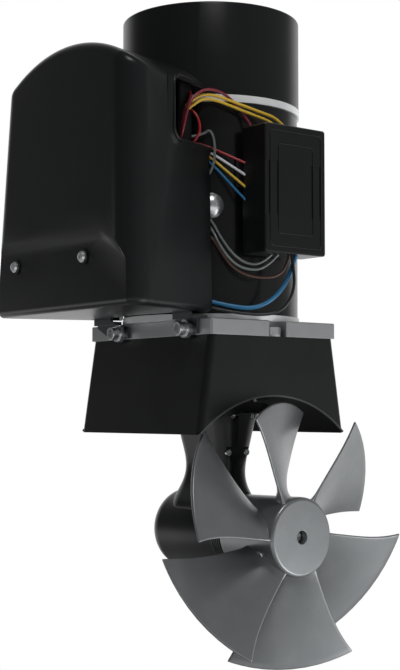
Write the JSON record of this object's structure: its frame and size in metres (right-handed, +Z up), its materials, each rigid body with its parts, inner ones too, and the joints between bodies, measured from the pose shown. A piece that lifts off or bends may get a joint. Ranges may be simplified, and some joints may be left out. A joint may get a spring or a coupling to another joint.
{
  "type": "bow thruster",
  "caption": "Electric bow thruster: upright motor on a tunnel saddle drives a skewed propeller inside the tunnel through a bevel-gear leg.",
  "frame": {"origin": "crossing of the propeller shaft's axis and the motor shaft's axis", "axes": "+X along the propeller shaft towards the front of the propeller, +Z up the motor shaft, -Y towards the contactor cover"},
  "size_m": [0.1927, 0.2272, 0.4655],
  "materials": {
    "black_composite": "satin black glass-filled composite",
    "plate_aluminium": "machined aluminium",
    "stainless": "stainless fasteners",
    "bearing_steel": "ground bearing steel",
    "seal_rubber": "nitrile rubber",
    "cast_aluminium": "cast and turned aluminium",
    "black_paint": "gloss black painted steel",
    "black_plastic": "fine-textured moulded black plastic",
    "ferrite": "sintered ferrite",
    "moulded_black": "moulded phenolic",
    "carbon": "pressed carbon",
    "spring_steel": "spring steel",
    "zinc_steel": "zinc-plated sheet steel",
    "brass_stud": "brass studs and nuts",
    "copper_bar": "bare copper",
    "board_green": "printed circuit board",
    "red_insulation": "red wire insulation",
    "white_insulation": "white wire insulation",
    "yellow_insulation": "yellow wire insulation",
    "blue_insulation": "blue wire insulation",
    "maroon_insulation": "maroon wire insulation",
    "grey_insulation": "grey wire insulation",
    "brown_insulation": "brown wire insulation",
    "black_insulation": "black wire insulation",
    "shaft_steel": "ground steel shaft",
    "lamination": "stacked lamination steel",
    "copper": "enamelled copper winding",
    "gear_steel": "hardened gear steel",
    "spider_rubber": "red polyurethane",
    "prop_composite": "grey satin composite"
  },
  "bodies": {
    "frame": {"tunnel_saddle": "black_composite", "motor_plate": "plate_aluminium", "plate_edge_screws": "stainless", "slot_bolts": "stainless", "socket_bolts": "stainless", "gear_leg": "black_composite", "gear_leg_rear": "black_composite", "leg_screws": "stainless", "ribbed_collar": "black_composite", "ball_bearings": "bearing_steel", "shaft_seals": "seal_rubber", "motor_lower_shield": "cast_aluminium", "motor_yoke": "black_paint", "motor_upper_shield": "cast_aluminium", "motor_cap": "black_plastic", "field_magnets": "ferrite", "terminal_bolt": "stainless", "brush_ring": "moulded_black", "brushes": "carbon", "brush_springs": "spring_steel", "solenoid_cover": "black_plastic", "pan_screws": "stainless", "solenoid_bracket": "zinc_steel", "contactors": "moulded_black", "contactor_studs": "brass_stud", "contactor_bars": "copper_bar", "wiring_duct": "moulded_black", "control_box": "black_plastic", "control_box_lid": "black_plastic", "circuit_board": "board_green", "control_box_bracket": "zinc_steel", "wire_fan_red": "red_insulation", "wire_fan_white": "white_insulation", "wire_fan_yellow": "yellow_insulation", "wire_fan_blue": "blue_insulation", "wire_yellow_upper": "yellow_insulation", "wire_yellow_lower": "yellow_insulation", "wire_maroon": "maroon_insulation", "wire_red_near": "red_insulation", "wire_red_far": "red_insulation", "wire_grey_loop": "grey_insulation", "wire_grey_upper": "grey_insulation", "wire_grey_lower": "grey_insulation", "wire_brown": "brown_insulation", "wire_blue_power": "blue_insulation", "wire_black": "black_insulation"},
    "armature": {"armature_shaft": "shaft_steel", "armature_core": "lamination", "armature_windings": "copper", "commutator": "copper_bar", "coupling_upper_hub": "gear_steel", "coupling_spider": "spider_rubber", "coupling_lower_hub": "gear_steel", "drive_shaft": "shaft_steel", "bevel_pinion": "gear_steel"},
    "propeller": {"bevel_gear": "gear_steel", "prop_shaft": "shaft_steel", "propeller": "prop_composite", "prop_screw": "stainless", "drive_pin": "stainless"}
  },
  "joints": [
    {"name": "motor_spin", "type": "hinge", "parent": "frame", "child": "armature", "pos_m": [0, 0, 0], "axis": [0, 0, 1], "continuous": true},
    {"name": "propeller_spin", "type": "hinge", "parent": "frame", "child": "propeller", "pos_m": [0, 0, 0], "axis": [1, 0, 0], "continuous": true}
  ],
  "couplings": [
    {"joint": "propeller_spin", "follows": "motor_spin", "ratio": 0.66667}
  ]
}
